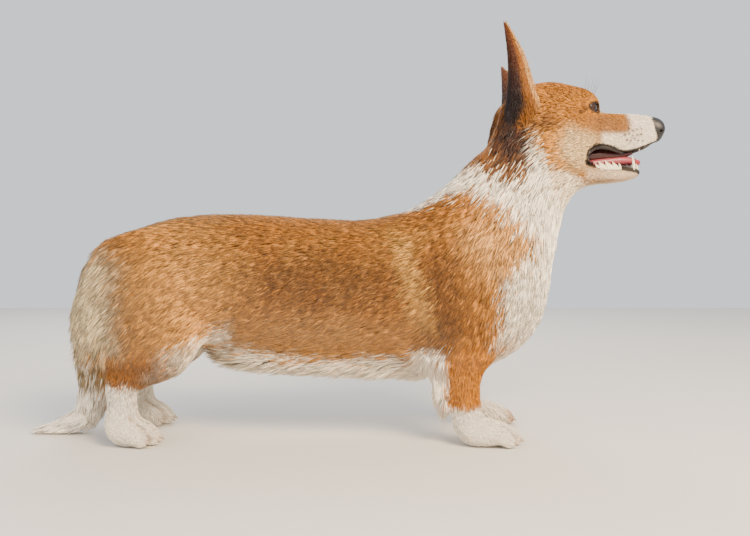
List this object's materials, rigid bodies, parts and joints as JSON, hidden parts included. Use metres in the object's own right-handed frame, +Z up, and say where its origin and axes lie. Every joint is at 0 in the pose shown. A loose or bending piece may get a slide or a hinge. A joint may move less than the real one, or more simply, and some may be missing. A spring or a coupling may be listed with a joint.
{
  "type": "pembroke welsh corgi",
  "caption": "Life-size Pembroke Welsh corgi standing in profile, head up, ears erect, mouth open, long tail hanging to the ground.",
  "frame": {"origin": "middle of the footprint of the bounding box, on the ground", "axes": "+X towards the nose, +Y to the dog's left, +Z up"},
  "size_m": [0.735, 0.1923, 0.4704],
  "materials": {
    "tan_fur": "dense dog coat, tan, soft sheen",
    "white_fur": "dense dog coat, white",
    "cream_fur": "long dog coat, white and cream",
    "rump_fur": "dense dog coat, pale tan",
    "pale_fur": "short dog coat, cream",
    "ear_fur": "short dog coat, dark tan",
    "jaw_fur": "short dog coat, cream",
    "tail_fur": "long dog coat, grey-brown",
    "nose_leather": "moist, finely grained",
    "tongue": "moist",
    "eye": "wet gloss"
  },
  "bodies": {
    "root": {"head": "tan_fur", "lower_jaw": "jaw_fur", "tongue": "tongue", "nose": "nose_leather", "eye_right": "eye", "eye_left": "eye", "ear_right": "ear_fur", "ear_left": "ear_fur", "neck": "white_fur", "chest": "cream_fur", "abdomen": "tan_fur", "rump": "rump_fur", "shoulder_right": "tan_fur", "thigh_right": "tan_fur", "front_leg_right": "tan_fur", "front_paw_right": "white_fur", "hind_leg_right": "pale_fur", "hind_paw_right": "white_fur", "shoulder_left": "tan_fur", "thigh_left": "tan_fur", "front_leg_left": "tan_fur", "front_paw_left": "white_fur", "hind_leg_left": "pale_fur", "hind_paw_left": "white_fur", "tail_upper": "tail_fur", "tail_tip": "white_fur"}
  },
  "joints": []
}
